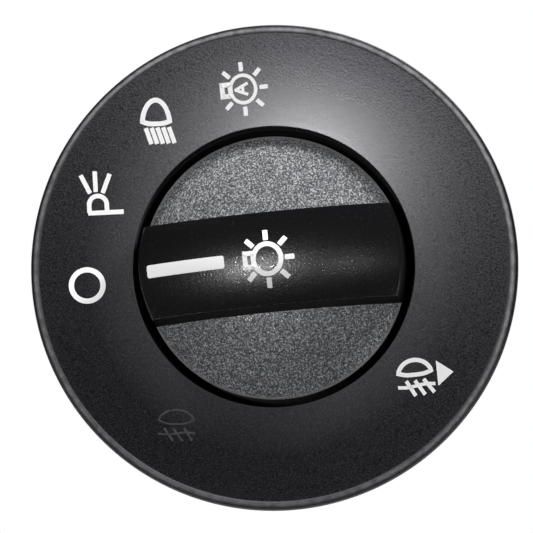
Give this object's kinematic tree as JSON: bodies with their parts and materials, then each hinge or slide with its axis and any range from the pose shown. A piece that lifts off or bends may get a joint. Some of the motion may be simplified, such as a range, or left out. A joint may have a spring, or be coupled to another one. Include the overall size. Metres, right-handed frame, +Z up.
{
  "type": "headlight switch",
  "caption": "Round dashboard light switch: flat ring bezel with lamp pictograms, domed knob with a proud grip bar that turns and pulls out, housing with sprung panel latches and a plug socket.",
  "frame": {"origin": "on the knob's axis in the seat plane, where the flange's rear face meets the panel", "axes": "+Y along the axis to the rear, the face looks along -Y, +Z up as installed"},
  "size_m": [0.073, 0.0639, 0.073],
  "materials": {
    "bezel_black": "satin, fine grain",
    "housing_black": "matte",
    "cover_grey": "matte",
    "white_diffuser": "smooth",
    "clear_pipe": "polished",
    "natural_plastic": "satin",
    "insulator": "matte",
    "contact_brass": "plain",
    "board_green": "lacquered",
    "lamp_white": "smooth",
    "chip_black": "matte",
    "spring_steel": "plain",
    "knob_grey": "sparkling coarse grain",
    "knob_black": "matte fine grain"
  },
  "bodies": {
    "housing": {"front_bezel": "bezel_black", "symbol_light_guide": "white_diffuser", "main_housing": "housing_black", "detent_ring": "natural_plastic", "contact_plate": "insulator", "contact_tracks": "contact_brass", "lamp_board": "board_green", "board_leds": "lamp_white", "board_components": "chip_black", "fog_contact_fingers": "contact_brass", "terminal_pins": "contact_brass", "board_screws": "spring_steel", "rear_cover": "cover_grey", "latch_spring_left": "spring_steel", "latch_spring_right": "spring_steel"},
    "rotor": {"rotor": "natural_plastic", "wiper_contacts": "contact_brass", "push_return_spring": "spring_steel", "detent_spring_upper": "spring_steel", "detent_spring_lower": "spring_steel"},
    "knob": {"knob_dome": "knob_grey", "knob_grip": "knob_black", "knob_light_guide": "white_diffuser", "knob_stem": "housing_black", "stem_light_pipe": "clear_pipe", "stem_retaining_ring": "spring_steel", "fog_contact_ring": "contact_brass"},
    "detent_upper": {"detent_plunger_upper": "spring_steel"},
    "detent_lower": {"detent_plunger_lower": "spring_steel"},
    "latch_left": {"latch_left": "natural_plastic"},
    "latch_right": {"latch_right": "natural_plastic"}
  },
  "joints": [
    {"name": "knob_turn", "type": "hinge", "parent": "housing", "child": "rotor", "pos_m": [0, 0, 0], "axis": [0, 1, 0], "range_deg": [0, 85.8]},
    {"name": "knob_pull", "type": "slide", "parent": "rotor", "child": "knob", "axis": [0, -1, 0], "range_m": [-0.003, 0.008], "deforming": ["push_return_spring"]},
    {"name": "detent_upper", "type": "slide", "parent": "rotor", "child": "detent_upper", "axis": [0, 0, 1], "range_m": [-0.0008, 0], "stiffness_N_per_m": 2000, "springref_m": 0.001, "deforming": ["detent_spring_upper"]},
    {"name": "detent_lower", "type": "slide", "parent": "rotor", "child": "detent_lower", "axis": [0, 0, -1], "range_m": [-0.0008, 0], "stiffness_N_per_m": 2000, "springref_m": 0.001, "deforming": ["detent_spring_lower"]},
    {"name": "latch_left", "type": "slide", "parent": "housing", "child": "latch_left", "axis": [-1, 0, 0], "range_m": [-0.0028, 0], "stiffness_N_per_m": 2000, "springref_m": 0.0015, "deforming": ["latch_spring_left"]},
    {"name": "latch_right", "type": "slide", "parent": "housing", "child": "latch_right", "axis": [1, 0, 0], "range_m": [-0.0028, 0], "stiffness_N_per_m": 2000, "springref_m": 0.0015, "deforming": ["latch_spring_right"]}
  ]
}
